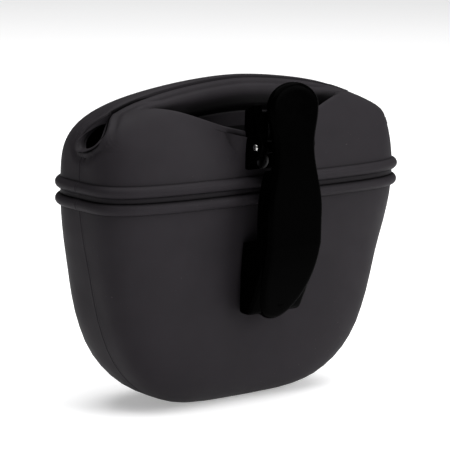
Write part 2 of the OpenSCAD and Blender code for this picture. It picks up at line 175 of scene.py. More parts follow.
class Recipe:
    """A node material with a Principled shader, built up call by call."""

    def __init__(self, name, base, roughness, metallic=0.0, specular=0.5):
        self.material = bpy.data.materials.new(name)
        self.material.use_nodes = True
        self.tree = self.material.node_tree
        self.shader = self.tree.nodes["Principled BSDF"]
        self.shader.inputs["Base Color"].default_value = (*base, 1)
        self.shader.inputs["Roughness"].default_value = roughness
        self.shader.inputs["Metallic"].default_value = metallic
        self.shader.inputs["Specular IOR Level"].default_value = specular
        self.place = self.tree.nodes.new("ShaderNodeTexCoord").outputs["Object"]

    def node(self, kind, **values):
        made = self.tree.nodes.new(kind)
        for name, value in values.items():
            made.inputs[name.replace("_", " ")].default_value = value
        return made

    def link(self, out, into):
        self.tree.links.new(out, into)

    def stretched(self, factors):
        mapping = self.node("ShaderNodeMapping", Scale=factors)
        self.link(self.place, mapping.inputs["Vector"])
        return mapping.outputs["Vector"]

    def noise(self, scale, detail=4.0, rough=0.55, place=None):
        made = self.node("ShaderNodeTexNoise", Scale=scale, Detail=detail, Roughness=rough)
        self.link(place or self.place, made.inputs["Vector"])
        return made.outputs["Fac"]

    def ramp(self, fac, low, high, low_colour=(0, 0, 0), high_colour=(1, 1, 1)):
        made = self.tree.nodes.new("ShaderNodeValToRGB")
        first, last = made.color_ramp.elements
        first.position, last.position = low, high
        first.color, last.color = (*low_colour, 1), (*high_colour, 1)
        self.link(fac, made.inputs["Fac"])
        return made.outputs["Color"]

    def span(self, fac, low, high, start=0.3, end=0.7):
        made = self.node(
            "ShaderNodeMapRange", From_Min=start, From_Max=end, To_Min=low, To_Max=high
        )
        self.link(fac, made.inputs["Value"])
        return made.outputs["Result"]

    def mix(self, fac, a, b):
        made = self.tree.nodes.new("ShaderNodeMix")
        made.data_type = "RGBA"
        self.link(fac, made.inputs[0])
        for value, slot in ((a, 6), (b, 7)):
            if isinstance(value, tuple):
                made.inputs[slot].default_value = (*value, 1)
            else:
                self.link(value, made.inputs[slot])
        return made.outputs[2]

    def bump(self, height, distance, strength=1.0, under=None):
        made = self.node("ShaderNodeBump", Strength=strength, Distance=distance)
        self.link(height, made.inputs["Height"])
        if under is not None:
            self.link(under, made.inputs["Normal"])
        return made.outputs["Normal"]

    def crevice(self, reach):
        """How open the surface is within that reach: low in a crease, one on an open wall."""
        made = self.node("ShaderNodeAmbientOcclusion", Distance=reach)
        made.samples = 8
        made.only_local = True
        return made.outputs["AO"]

    def attribute(self, name):
        """A value that the mesh carries point by point; zero where it has none."""
        made = self.tree.nodes.new("ShaderNodeAttribute")
        made.attribute_name = name
        return made.outputs["Fac"]

    def set(self, socket, out):
        self.link(out, self.shader.inputs[socket])


def silicone_material(finishes):
    """Matte moulded silicone: a sand-blasted tool's grain, soft handling marks, specks of lint and painted
    shade in its creases and hand recess.
    """
    base = tuple(finishes.silicone)
    m = Recipe("matte_silicone", base, roughness=0.56, specular=0.05)

    def shade(factor):
        return tuple(c * factor for c in base)

    clouds = m.noise(38, detail=3, rough=0.6)
    tone_and_painted_shade = m.ramp(clouds, 0.35, 0.68, low_colour=shade(0.90), high_colour=shade(1.10))
    # painted shade: an occlusion node darkens the silicone's colour in creases, rib grooves, the slit and
    # the recess, where shade falls
    openness = m.span(m.crevice(16 * MM), 0.0, 1.0, start=0.5, end=0.86)
    tone_and_painted_shade = m.mix(openness, shade(0.10), tone_and_painted_shade)
    # painted shade: the per-point attribute darkens the hand recess below the near lip, where its shadow
    # falls
    tone_and_painted_shade = m.mix(m.attribute("deep"), tone_and_painted_shade, shade(0.12))
    specks = m.ramp(m.noise(1500, detail=1, rough=0.5), 0.735, 0.79)
    dusty_patches = m.ramp(m.noise(24, detail=2, rough=0.5), 0.5, 0.72)
    lint = m.mix(dusty_patches, (0, 0, 0), specks)
    m.set("Base Color", m.mix(lint, tone_and_painted_shade, tuple(finishes.dust)))
    m.set("Roughness", m.span(m.noise(70, detail=4, rough=0.6), 0.50, 0.62))
    rubbed = m.bump(m.noise(130, detail=3, rough=0.5), distance=0.00006, strength=0.5)
    grain = m.noise(4200, detail=2, rough=0.6)
    m.set("Normal", m.bump(grain, distance=0.000018, strength=0.55, under=rubbed))
    return m.material


def plastic_material(finishes):
    """Polished black plastic with hairline scuffs and a faint moulding ripple."""
    m = Recipe("glossy_clip_plastic", tuple(finishes.plastic), roughness=0.2, specular=0.004)
    m.set("Roughness", m.span(m.noise(160, detail=3, rough=0.6), 0.15, 0.26))
    ripple = m.bump(m.noise(55, detail=2, rough=0.5), distance=0.00008, strength=0.35)
    scuffs = m.noise(900, detail=2, rough=0.6, place=m.stretched((1, 1, 0.05)))
    m.set("Normal", m.bump(scuffs, distance=0.000004, strength=0.3, under=ripple))
    return m.material


def metal_material(name, base, roughness, grain, grain_depth):
    """Metal with a fine drawn or tumbled grain and small stains."""
    m = Recipe(name, base, roughness, metallic=1.0)
    drawn = m.noise(2600, detail=3, rough=0.6, place=m.stretched(grain))
    stains = m.noise(420, detail=3, rough=0.6)
    darker = tuple(c * 0.78 for c in base)
    m.set("Base Color", m.ramp(stains, 0.35, 0.7, low_colour=darker, high_colour=base))
    m.set("Roughness", m.span(stains, roughness * 0.85, roughness * 1.3))
    m.set("Normal", m.bump(drawn, distance=grain_depth, strength=0.5))
    return m.material


def floor_material(finishes):
    """A pale matte floor with a faint glow that keeps it light."""
    m = Recipe("pale_floor", tuple(finishes.floor), roughness=0.7, specular=0.2)
    m.set("Roughness", m.span(m.noise(6, detail=2), 0.66, 0.74))
    m.shader.inputs["Emission Color"].default_value = (1, 1, 1, 1)
    m.shader.inputs["Emission Strength"].default_value = 0.35
    return m.material


# For each metal finish: the material's name, its colour, its roughness, and its grain's stretch and depth
METALS = {
    "pin_steel": ("turned_steel", "steel", 0.26, (0.06, 1, 1), 0.000003),
    "rivet_steel": ("blackened_steel", "rivet", 0.36, (1, 1, 1), 0.000004),
    "spring_steel": ("spring_wire", "spring", 0.34, (1, 1, 0.2), 0.000004),
    "magnet_plating": ("nickel_plate", "nickel", 0.22, (1, 1, 1), 0.000002),
}
MOULDINGS = {"silicone": silicone_material, "clip_plastic": plastic_material}
made_finishes = {}


def finish_of(context, finish):
    """The material of that finish, made once."""
    if finish not in made_finishes:
        finishes = context.scene.pouch_finishes
        if finish in MOULDINGS:
            made_finishes[finish] = MOULDINGS[finish](finishes)
        else:
            name, colour_name, roughness, grain, grain_depth = METALS[finish]
            base = tuple(getattr(finishes, colour_name))
            made_finishes[finish] = metal_material(name, base, roughness, grain, grain_depth)
    return made_finishes[finish]


# ---------------------------------------------------------------- mesh helpers


def new_piece(context, name, points, faces, finish, body=None, sharp_deg=35, shade=None):
    """A mesh object made of those faces, welded, turned outwards and shaded smooth."""
    mesh = bpy.data.meshes.new(name)
    mesh.from_pydata([tuple(p) for p in np.asarray(points, float)], [], faces)
    # the shade values go on the mesh as the attribute that paints shade into the hand recess
    if shade is not None:
        mesh.attributes.new("deep", "FLOAT", "POINT").data.foreach_set("value", np.ravel(shade))
    tidy = bmesh.new()
    tidy.from_mesh(mesh)
    bmesh.ops.remove_doubles(tidy, verts=tidy.verts, dist=WELD)
    bmesh.ops.dissolve_degenerate(tidy, edges=tidy.edges, dist=WELD / 2)
    bmesh.ops.recalc_face_normals(tidy, faces=tidy.faces)
    tidy.to_mesh(mesh)
    tidy.free()
    mesh.shade_smooth()
    mesh.set_sharp_from_angle(angle=math.radians(sharp_deg))
    mesh.materials.append(finish_of(context, finish))
    piece = bpy.data.objects.new(name, mesh)
    context.scene.collection.objects.link(piece)
    if body:
        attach(piece, body)
    return piece


def strip_faces(rows, cols, closed=False):
    """Quads between neighbouring rows of a grid of points."""
    last = cols if closed else cols - 1
    return [
        (i * cols + j, i * cols + (j + 1) % cols, (i + 1) * cols + (j + 1) % cols, (i + 1) * cols + j)
        for i in range(rows - 1)
        for j in range(last)
    ]


def lathe(profile, centre, axis, sides=48):
    """Points and faces of a solid of revolution; profile is (distance along the axis, radius)."""
    along = Vector(axis)
    across = along.orthogonal().normalized()
    third = along.cross(across)
    points = [
        Vector(centre) + along * d + (across * math.cos(a) + third * math.sin(a)) * r
        for d, r in profile
        for a in (2 * math.pi * k / sides for k in range(sides))
    ]
    return points, strip_faces(len(profile), sides, closed=True)


def rounded(corners, radius, steps=4):
    """A profile with each inner corner rounded by that radius."""
    out = [corners[0]]
    for before, here, after in zip(corners, corners[1:], corners[2:]):
        p, a, b = Vector(here), Vector(before), Vector(after)
        r = min(radius, (a - p).length * 0.48, (b - p).length * 0.48)
        start, end = p + (a - p).normalized() * r, p + (b - p).normalized() * r
        for k in range(steps + 1):
            w = k / steps
            out.append(tuple(start * (1 - w) ** 2 + p * 2 * w * (1 - w) + end * w * w))
    return out + [corners[-1]]


# ---------------------------------------------------------------- the silicone wall


class Wall:
    """The pouch's outer surface: rounded-rectangle levels that close to the mouth arch."""

    # powers of the width's curves below the belly and above the ribs, and of the depth's
    BOTTOM_FALL, BOTTOM_SIDE = 1.566, 1 / 3.6
    ARCH_RISE, ARCH_SIDE = 3.95, 1 / 1.547
    DEPTH_FALL, DEPTH_SIDE = 4.286, 1 / 2.2
    RISE = {REAR: 1.198, FRONT: 2.414}
    CROWN_SIDE = 1 / 2.45
    # how square the levels are, how far the bottom's curves run, and how full the belly's swell is
    SQUARE = {REAR: 4.1, FRONT: 3.55}
    FLAT_SHARE = 0.995
    FULLNESS = 0.8
    # the seat's rise: how far past the bracket it runs, how wide it fades, and the height it starts at
    SEAT_PAST, SEAT_FADE, SEAT_LOW_Z, SEAT_FADE_Z = 5.2 * MM, 4.6 * MM, 84 * MM, 3 * MM
    # the teardrop: where along the mouth the skin starts to give, over what length, and how deep
    TEAR_X, TEAR_FADE, TEAR_REACH = 47 * MM, 6 * MM, 15 * MM
    # the belly's easing: its reach, the heights where it starts and ends with their fades, and its
    # (step, weight) pairs
    EASE_REACH = 10 * MM
    EASE_LOW_Z, EASE_LOW_FADE = 16 * MM, 16 * MM
    EASE_TOP_Z, EASE_TOP_FADE = 76 * MM, 14 * MM
    EASING = ((-1, 0.125), (-0.5, 0.25), (0, 0.25), (0.5, 0.25), (1, 0.125))

    def __init__(self, sizes, mouth):
        self.s, self.m = sizes, mouth

    def fall(self, z):
        """How far down the bottom's curve the height z lies, from 0 at the belly."""
        return np.clip((self.s.belly_z - z) / self.s.belly_z, 0, self.FLAT_SHARE)

    def rise(self, z):
        """How far up the crown the height z lies, from 0 at the upper rib to 1 at the top."""
        return clamp((z - self.s.rib_z) / (self.s.height - self.s.rib_z))

    def swell(self, z, low, high):
        """Goes from low at the belly to high at the upper rib."""
        up = clamp((z - self.s.belly_z) / (self.s.rib_z - self.s.belly_z))
        return low + (high - low) * np.sin(math.pi / 2 * up) ** self.FULLNESS

    def eased(self, curve, z):
        """The curve averaged over a few levels round the belly, so that no kink shows there."""
        z = np.asarray(z, float)
        above = smooth((z - self.EASE_LOW_Z) / self.EASE_LOW_FADE)
        below = smooth((self.EASE_TOP_Z - z) / self.EASE_TOP_FADE)
        reach = self.EASE_REACH * above * below
        return sum(w * curve(z + k * reach) for k, w in self.EASING)

    def half_width(self, z):
        """Half width of the level at height z."""
        return self.eased(self.plain_half_width, z)

    def depth(self, side, z):
        """Depth of that half of the level at height z."""
        return self.eased(lambda h: self.plain_depth(side, h), z)

    def plain_half_width(self, z):
        """The half width before the easing at the belly."""
        level = self.swell(z, self.s.belly_width / 2, self.s.width / 2)
        low = (1 - self.fall(z) ** self.BOTTOM_FALL) ** self.BOTTOM_SIDE
        return level * low * (1 - self.rise(z) ** self.ARCH_RISE) ** self.ARCH_SIDE

    def plain_depth(self, side, z):
        """The depth before the easing at the belly."""
        s = self.s
        low, high = (s.rear_belly, s.rear_depth) if side == REAR else (s.front_belly, s.front_depth)
        fade = (1 - self.fall(z) ** self.DEPTH_FALL) ** self.DEPTH_SIDE
        return self.swell(z, low, high) * fade * (1 - self.rise(z) ** self.RISE[side]) ** self.CROWN_SIDE

    def across(self, side, x, z):
        """Distance of the wall from the mouth plane at (x, z)."""
        n = self.SQUARE[side]
        off = clamp(np.abs(x) / np.maximum(self.half_width(z), 1e-6)) ** n
        return self.with_seat(side, x, self.depth(side, z) * (1 - off) ** (1 / n), z)

    def with_seat(self, side, x, y, z):
        """The wall swells out to a flat seat behind the clip's bracket."""
        if side == FRONT:
            return y
        beside = smooth((BRACKET[1].x + self.SEAT_PAST - np.abs(x)) / self.SEAT_FADE)
        here = beside * smooth((z - self.SEAT_LOW_Z) / self.SEAT_FADE_Z)
        return y + np.maximum(0, self.m.seat_y - y) * here

    def rib(self, z):
        """How far the two ribs stand out at height z."""
        def bump(d):
            return np.maximum(0, 1 - (d / self.s.rib_half) ** 2) ** 0.6
        return self.s.rib_proud * (bump(z - self.s.rib_z) + bump(z - self.s.rib_z + self.s.rib_pitch))

    def recess_edge(self, x):
        """Height of the hand recess's lower edge."""
        m = self.m
        part = np.sin(math.pi / 2 * clamp(np.abs(x) / m.recess_half_l)) ** 2
        return m.recess_z + (m.recess_end_z - m.recess_z) * part

    def tear(self, side, z):
        """Half opening of the mouth at a point of the arch at height z."""
        m = self.m
        up = clamp((z - m.slit_end_z) / (m.tear_mid_z - m.slit_end_z))
        wide = m.tear_near if side == REAR else m.tear_far
        low = np.sqrt(1 - (1 - up) ** 2)
        high = np.cos(math.pi / 2 * clamp((z - m.tear_mid_z) / (m.tear_top_z - m.tear_mid_z))) ** 1.35
        return wide * np.where(z < m.tear_mid_z, low, high)

    def spread(self, side, points):
        """The same points with the skin pushed sideways round the teardrop at each end."""
        x, y, z = points[..., 0], points[..., 1], points[..., 2]
        here = smooth((np.abs(x) - self.TEAR_X) / self.TEAR_FADE) * (z >= self.m.slit_end_z)
        give = self.tear(side, z) * here * np.clip(1 - y / self.TEAR_REACH, 0, 1) ** 1.6
        return np.stack([x, y + give, z], -1)


CROWDING = 0.82


def column_angles(wall, side, z, count):
    """Angles round a level, crowded at the two ends of the pouch, and their shares of its length."""
    n = wall.SQUARE[side]
    t = np.linspace(0, math.pi, 4001)
    k = (np.abs(np.cos(t)) ** n + np.abs(np.sin(t)) ** n) ** (-1 / n)
    x, y = wall.half_width(z) * k * np.cos(t), wall.depth(side, z) * k * np.sin(t)
    run = np.concatenate([[0], np.cumsum(np.hypot(np.diff(x), np.diff(y)))])
    q = np.linspace(0, 1, count)
    crowded = q - CROWDING * np.sin(2 * math.pi * q) / (2 * math.pi)
    return np.interp(crowded * run[-1], run, t), crowded


def level_row(wall, side, angles, z):
    """Points of the wall at height z, one at each of the angles."""
    n = wall.SQUARE[side]
    c, s = np.cos(angles), np.sin(angles)
    k = (np.abs(c) ** n + np.abs(s) ** n) ** (-1 / n)
    x = wall.half_width(z) * k * c
    y = wall.with_seat(side, x, wall.depth(side, z) * k * s, z)
    return np.stack([x, y, np.full_like(x, z)], -1)


def arch_points(wall, shares):
    """Points along the mouth arch from its +X end to its -X end, and the inward directions."""
    low = wall.m.slit_end_z
    up = low + (wall.s.height - low) * np.sin(np.linspace(0, math.pi / 2, 2000)) ** 0.9
    x = np.concatenate([wall.half_width(up), -wall.half_width(up)[-2::-1]])
    z = np.concatenate([up, up[-2::-1]])
    run = np.concatenate([[0], np.cumsum(np.hypot(np.diff(x), np.diff(z)))])
    at = shares * run[-1]
    px, pz = np.interp(at, run, x), np.interp(at, run, z)
    step = 0.6 * MM
    tx = np.interp(at + step, run, x) - np.interp(at - step, run, x)
    tz = np.interp(at + step, run, z) - np.interp(at - step, run, z)
    norm = np.hypot(tx, tz)
    return px, pz, tz / norm, tx / norm


# Distances of the lip's rows from its edge
LIP_STEPS = np.array([0, .2, .4, .65, .95, 1.25, 1.55, 1.85, 2.15, 2.4, 2.65, 2.9, 3.2, 3.5, 3.9, 4.3,
                      4.8, 5.3, 5.9, 6.6, 7.4, 8.3, 9.1, 9.8]) * MM
# The near lip where the hand recess uncovers it: (distance from the mouth plane, drop below the arch)
NEAR_LIP = np.array([
    (0, .55), (.15, .2), (.5, .02), (1.2, 0), (2.0, .2), (2.7, .7), (3.05, 1.25), (3.1, 1.65), (3.7, 1.95),
    (4.4, 2.6), (4.75, 3.5), (4.85, 4.4), (4.75, 5.2), (4.6, 6.0), (4.55, 8.0), (4.4, 9.4), (3.7, 10.0),
]) * MM
# Rows across the trench and up the wall to it, and the shares of that climb, closer near the trench
TRENCH_ROWS, WALL_ROWS = 16, 14
WALL_SHARES = 1 - (1 - np.linspace(0, 1, WALL_ROWS)) ** 1.6


# Steps along a crown column, how far up it the recess's edge may lie, and how near to it the lip may come
CROWN_STEPS, EDGE_LIMIT, LIP_LIMIT = 400, 0.88, 0.8


def resample(path, at):
    """Points of a polyline at those shares of its length."""
    step = np.sqrt((np.diff(path, axis=0) ** 2).sum(1))
    run = np.concatenate([[0], np.cumsum(step)])
    return np.stack([np.interp(at * run[-1], run, path[:, k]) for k in range(path.shape[1])], -1)


def soften(path, rounds=2):
    """Cuts the corners of a polyline, keeping its ends."""
    for _ in range(rounds):
        a, b = path[:-1], path[1:]
        cut = np.stack([a * 0.75 + b * 0.25, a * 0.25 + b * 0.75], 1).reshape(-1, path.shape[1])
        path = np.concatenate([path[:1], cut, path[-1:]])
    return path


def crown_column(wall, side, start, arch_x, arch_z):
    """One column of the crown from the level of the slit's ends up to the arch.
    Rows: up the wall, across the trench of the hand recess, and up the lip."""
    m = wall.m
    n = wall.SQUARE[side]
    z0 = m.slit_end_z
    start_depth = max(wall.depth(side, z0), 1e-6)
    v = 1 - (1 - np.linspace(0, 1, CROWN_STEPS)) ** 3
    z = z0 + (arch_z - z0) * v
    end_share = float(smooth((abs(arch_x) - 34 * MM) / (18 * MM)))
    straight = start[0] + (arch_x - start[0]) * v
    share_out = min(1.0, start[1] / start_depth) * (1 - v)
    bent = np.sign(arch_x) * wall.half_width(z) * (1 - share_out ** n) ** (1 / n)
    x = lerp(straight, bent, end_share)
    natural = np.stack([x, wall.across(side, x, z), z], -1)
    natural[-1, 1] = 0
    run = np.concatenate([[0], np.cumsum(np.sqrt((np.diff(natural, axis=0) ** 2).sum(1)))])
    total = run[-1]
    edge_z = min(float(wall.recess_edge(arch_x)), z0 + EDGE_LIMIT * (arch_z - z0))
    edge_from_arch = total - float(np.interp(edge_z, z, run))
    lip = LIP_STEPS * min(1.0, LIP_LIMIT * edge_from_arch / LIP_STEPS[-1])
    trench = np.linspace(edge_from_arch, lip[-1], TRENCH_ROWS + 2)[:-1]
    up_wall = total - (total - edge_from_arch) * WALL_SHARES[:-1]
    distances = np.concatenate([up_wall, trench, lip[::-1]])
    rows = np.stack([np.interp(total - distances, run, natural[:, k]) for k in range(3)], -1)
    sunk = float(smooth((m.recess_half_l - abs(arch_x)) / (13 * MM))) if side == REAR else 0.0
    if sunk <= 0:
        return rows, 0.0
    return lerp(rows, recessed_column(wall, start, arch_x, arch_z, edge_z, sunk), sunk), sunk


def recessed_column(wall, start, arch_x, arch_z, edge_z, sunk):
    """The same column where the hand recess is deep: an edge, a trench, and the lip's own face."""
    z0 = wall.m.slit_end_z

    def x_at(z):
        return start[0] + (arch_x - start[0]) * (z - z0) / (arch_z - z0)

    def placed(yz):
        return np.stack([x_at(yz[:, 1]), yz[:, 0], yz[:, 1]], -1)

    edge_y = float(wall.across(REAR, x_at(edge_z), edge_z))
    dip = wall.m.trench * sunk
    z = np.linspace(z0, edge_z - 0.5 * MM, 12)
    climb = np.stack([wall.across(REAR, x_at(z), z), z], -1)
    rim = np.array([(edge_y - 0.12 * MM, edge_z - 0.12 * MM), (edge_y - 0.5 * MM, edge_z)])
    up_wall = resample(np.concatenate([climb, rim]), WALL_SHARES)[:-1]
    foot_y, foot_z = NEAR_LIP[-1, 0], arch_z - NEAR_LIP[-1, 1]
    across = soften(np.array([
        (edge_y - 0.5 * MM, edge_z),
        (edge_y - 1.3 * MM, edge_z - 0.02 * MM),
        (edge_y - 2.0 * MM, edge_z - 0.35 * dip),
        (edge_y - 2.6 * MM, edge_z - 0.9 * dip),
        (lerp(edge_y, foot_y, 0.45), edge_z - dip),
        (1.9 * MM, edge_z - dip),
        (1.0 * MM, edge_z - 0.6 * dip),
        (0.9 * MM, min(edge_z, foot_z - 2.0 * MM)),
        (1.6 * MM, foot_z - 0.7 * MM),
        (foot_y, foot_z),
    ]), 2)
    trench = resample(across, np.linspace(0, 1, TRENCH_ROWS + 2))[:-1]
    lip = resample(soften(NEAR_LIP, 1), LIP_STEPS / LIP_STEPS[-1])
    lip = np.stack([lip[:, 0], arch_z - lip[:, 1]], -1)[::-1]
    return placed(np.concatenate([up_wall, trench, lip]))


# Beads along the two lips: (distance from the lip's edge, height)
BEAD_NEAR = np.array([(0, -.9), (.35, -.35), (.9, .22), (1.7, .38), (2.6, .06), (3.2, -.30),
                      (4.0, -.12), (5.0, .16), (6.2, .10), (8.2, 0)]) * MM
BEAD_FAR = np.array([(0, -.7), (.35, -.1), (1.0, .70), (1.9, 1.0), (2.8, .95), (4.2, .8), (6.5, .5),
                     (9.5, .2), (13, 0)]) * MM
BEAD_ROWS = 8
TEAR_BEAD = 1.4
SUNK_BEAD_LOSS = 0.75
# The parting line: (distance from the mouth plane in mm, share of the groove's depth)
PARTING = np.array([(0, -1), (.22, -.5), (.5, .35), (.9, 0)])
WAVE_SCALE, WAVE_HEIGHT = 42, 0.16 * MM

COLUMNS = 181
FOOT_SHARES = (0, 0.5, 0.85)
LOW_LEVELS = np.array([0, .5, 1.2, 2.2, 3.5, 5.2, 7.5, 10.5, 14, 18, 23, 28.5, 34, 40, 45, 49, 54, 60,
                       66, 70]) * MM
HIGH_LEVELS = np.array([86, 88.5, 90.5, 92, 93, 93.8, 94.4]) * MM
RIB_STEPS = np.array([-1, -.97, -.85, -.6, -.3, 0, .3, .6, .85, .97, 1])
RIBS_END_Z, MIDDLE_Z = 90 * MM, 60 * MM
# Rows of the lip's mating face, by share of the band's height, and of its back: (height, thickness)
MATING_FACE = (0.05, 0.12, 0.35, 0.65, 0.93)
BAND_BACK = ((1.0, 0.2), (1.03, 0.55), (0.99, 0.9), (0.8, 1.0), (0.6, 1.02))


def grid_normals(rows):
    """Outward unit normals of a grid of points whose rows climb and whose columns run to -X."""
    up = np.gradient(rows, axis=0)
    along = np.gradient(rows, axis=1)
    n = np.cross(along, up)
    size = np.linalg.norm(n, axis=-1, keepdims=True)
    flat = size[..., 0] < 1e-12
    n = n / np.maximum(size, 1e-12)
    n[flat] = 0
    return n


def body_levels(sizes):
    """Heights of the rows below the slit's ends, close together over the two ribs."""
    steps = RIB_STEPS * sizes.rib_half
    low_rib = sizes.rib_z - sizes.rib_pitch
    margin = sizes.rib_half + 0.5 * MM
    return np.concatenate([
        LOW_LEVELS, [low_rib - margin], low_rib + steps,
        sizes.rib_z + steps, [sizes.rib_z + margin], HIGH_LEVELS,
    ])


def foot_rows(bottom):
    """Rows of the flat foot, from the mouth plane out to the lowest level."""
    rows = []
    for share_out in FOOT_SHARES:
        row = bottom * np.array([1, share_out, 1])
        row[:, 0] = bottom[:, 0] * (0.94 + 0.06 * share_out)
        rows.append(row)
    return rows


def bare_skin(wall, side, angles, arch):
    """Rows of the skin from the foot to the arch, without ribs or beads, how deep each column is
    sunk in the hand recess, and the number of the first row above the slit's ends."""
    arch_x, arch_z = arch[:2]
    rings = [level_row(wall, side, angles, z) for z in body_levels(wall.s)]
    foot = foot_rows(rings[0])
    start = level_row(wall, side, angles, wall.m.slit_end_z)
    crown, sunk = zip(*[crown_column(wall, side, start[j], arch_x[j], arch_z[j]) for j in range(COLUMNS)])
    skin = np.concatenate([np.array(foot), np.array(rings), np.stack(crown, 1)])
    skin[:, 0, 1] = skin[:, -1, 1] = 0
    skin = wall.spread(side, skin)
    edge_y = np.maximum(skin[-1, :, 1], wall.m.half_gap)
    edge_y[0] = edge_y[-1] = 0
    skin[-1, :, 1] = edge_y
    return skin, np.array(sunk), len(foot) + len(rings)


def skin_normals(wall, skin, first_crown):
    """Outward directions of the skin, evened out along its columns."""
    sizes = wall.s
    normals = grid_normals(skin)

    def point_ends_along_x():
        for j, end in ((0, 1), (-1, -1)):
            normals[first_crown - 1:, j] = (end, 0, 0)

    point_ends_along_x()
    for _ in range(2):
        normals[1:-1] = (normals[:-2] + 2 * normals[1:-1] + normals[2:]) / 4
        normals /= np.maximum(np.linalg.norm(normals, axis=-1, keepdims=True), 1e-9)
    outward = np.stack([skin[..., 0] / sizes.width, skin[..., 1] / sizes.front_depth,
                        (skin[..., 2] - MIDDLE_Z) / sizes.height], -1)
    normals *= np.sign((normals[:first_crown] * outward[:first_crown]).sum())
    point_ends_along_x()
    normals[:len(FOOT_SHARES)] = (0, 0, -1)
    return normals


def mouth_bead(side, skin, sunk, first_crown):
    """How far the rows near the mouth stand out: a bead along the lip and round each teardrop."""
    band = skin[first_crown - BEAD_ROWS:]
    edge = skin[-1]
    gap = np.sqrt(((band[:, :, None, :] - edge[None, None, :, :]) ** 2).sum(-1)).min(-1)
    bead = BEAD_NEAR if side == REAR else BEAD_FAR
    at_end = smooth((np.abs(band[..., 0]) - 50 * MM) / (8 * MM))
    round_tear = TEAR_BEAD * np.interp(gap, BEAD_NEAR[:, 0], BEAD_NEAR[:, 1])
    lift = lerp(np.interp(gap, bead[:, 0], bead[:, 1]), round_tear, at_end)
    return lift * (1 - SUNK_BEAD_LOSS * sunk[None, :] * (1 - at_end))


def raised_skin(wall, side, skin, normals, sunk, first_crown):
    """The skin with its ribs, the mouth's bead, the parting line and a soft unevenness."""
    y, z = skin[..., 1], skin[..., 2]
    proud = wall.rib(z) * (z < RIBS_END_Z)
    proud[first_crown - BEAD_ROWS:] += mouth_bead(side, skin, sunk, first_crown)
    seam = np.interp(np.abs(y), PARTING[:, 0] * MM, PARTING[:, 1])
    side_rows = (z > 4 * MM) & (np.arange(len(skin))[:, None] < first_crown - 3)
    proud += wall.s.parting_groove * seam * side_rows
    waves = np.array([[noise.noise(Vector(p) * WAVE_SCALE) for p in row] for row in skin * [1, side, 1]])
    proud += WAVE_HEIGHT * waves * smooth(y / (4 * MM)) * (z > 6 * MM)
    outer = skin + normals * proud[..., None]
    outer[:first_crown, 0, 1] = outer[:first_crown, -1, 1] = 0
    outer[0, :, 1] = 0
    outer[:len(FOOT_SHARES) + 1, :, 2] = 0
    return outer


def lip_underside(wall, arch, sunk, edge_y):
    """The lip's mating face and the lower edge and back of its band, inwards from the arch."""
    sizes, mouth = wall.s, wall.m
    arch_x, arch_z, in_x, in_z = arch
    fade = smooth((58 * MM - np.abs(arch_x)) / (14 * MM))
    band_h = lerp(sizes.wall, mouth.band_h, fade)
    thick = lerp(mouth.lip_t, mouth.lip_t - sizes.wall, sunk) * lerp(0.25, 1.0, fade)

    def row(drop, y):
        return np.stack([arch_x + in_x * drop, y, arch_z + in_z * drop], -1)

    rows = [row(h * band_h, edge_y) for h in MATING_FACE]
    for h, out in BAND_BACK:
        drop = lerp(h, max(h, 1.04 + (1 - h) * 0.15), sunk) * band_h
        rows.append(row(drop, edge_y + thick * out))
    return np.array(rows)


def inner_skin(wall, skin, normals, arch, first_crown):
    """The inside of the wall, its thickness behind the outer skin, up to the lip."""
    arch_x, arch_z, in_x, in_z = arch
    t = wall.s.wall
    kept = len(skin) - len(LIP_STEPS) - 3
    inner = skin[:kept] - normals[:kept] * t
    inner[:, :, 1] = np.maximum(inner[:, :, 1], 0.4 * MM)
    inner[:first_crown, 0, 1] = inner[:first_crown, -1, 1] = 0
    for j in (0, -1):
        inner[first_crown:, j] = (arch_x[j] + in_x[j] * t, 0, arch_z[j] + in_z[j] * t)
    inner[0, :, 1] = 0
    inner[:len(FOOT_SHARES), :, 2] = t
    return inner


def shell_faces(rows, first_crown):
    """Quads all over the skin, between its first and last row, and over its ends below the slit."""
    last = (rows - 1) * COLUMNS
    faces = strip_faces(rows, COLUMNS)
    faces += [(j + 1, j, last + j, last + j + 1) for j in range(COLUMNS - 1)]
    for j in (0, COLUMNS - 1):
        for i in range(first_crown):
            out, back = i * COLUMNS + j, last - i * COLUMNS + j
            faces.append((out, out + COLUMNS, back - COLUMNS, back))
    return faces


def shell_half(context, side):
    """Points and faces of one half of the pouch, and how much painted shade each point takes in the
    recess.
    """
    wall = Wall(context.scene.pouch_sizes, context.scene.pouch_mouth)
    angles, shares = column_angles(wall, side, wall.m.slit_end_z, COLUMNS)
    arch = arch_points(wall, shares)
    skin, sunk, first_crown = bare_skin(wall, side, angles, arch)
    normals = skin_normals(wall, skin, first_crown)
    outer = raised_skin(wall, side, skin, normals, sunk, first_crown)
    underside = lip_underside(wall, arch, sunk, skin[-1, :, 1])
    inner = inner_skin(wall, skin, normals, arch, first_crown)
    rows = np.concatenate([outer, underside, inner[::-1]])
    points = rows.reshape(-1, 3).copy()
    points[:, 1] *= side
    return points, shell_faces(len(rows), first_crown), recess_shade_mask(wall, rows, first_crown, len(outer))


# The recess's painted shade starts this far below the arch and reaches this distance from the middle, with
# their fades
SHADE_DROP, SHADE_FADE = 4.2 * MM, 2.6 * MM
SHADE_END_X, SHADE_FADE_X = 33 * MM, 11 * MM


def recess_shade_mask(wall, rows, first_crown, count):
    """How much painted shade each point of the skin takes in the hand recess, from 0 to 1: it darkens the
    silicone's colour where the recess's shadow falls.
    """
    x, z = rows[..., 0], rows[..., 2]
    row = np.arange(len(rows))[:, None]
    below_lip = smooth((arch_height(wall, x) - z - SHADE_DROP) / SHADE_FADE)
    along = smooth((SHADE_END_X - np.abs(x)) / SHADE_FADE_X)
    past_edge = row >= first_crown + WALL_ROWS - 1
    return below_lip * along * past_edge * (row < count)


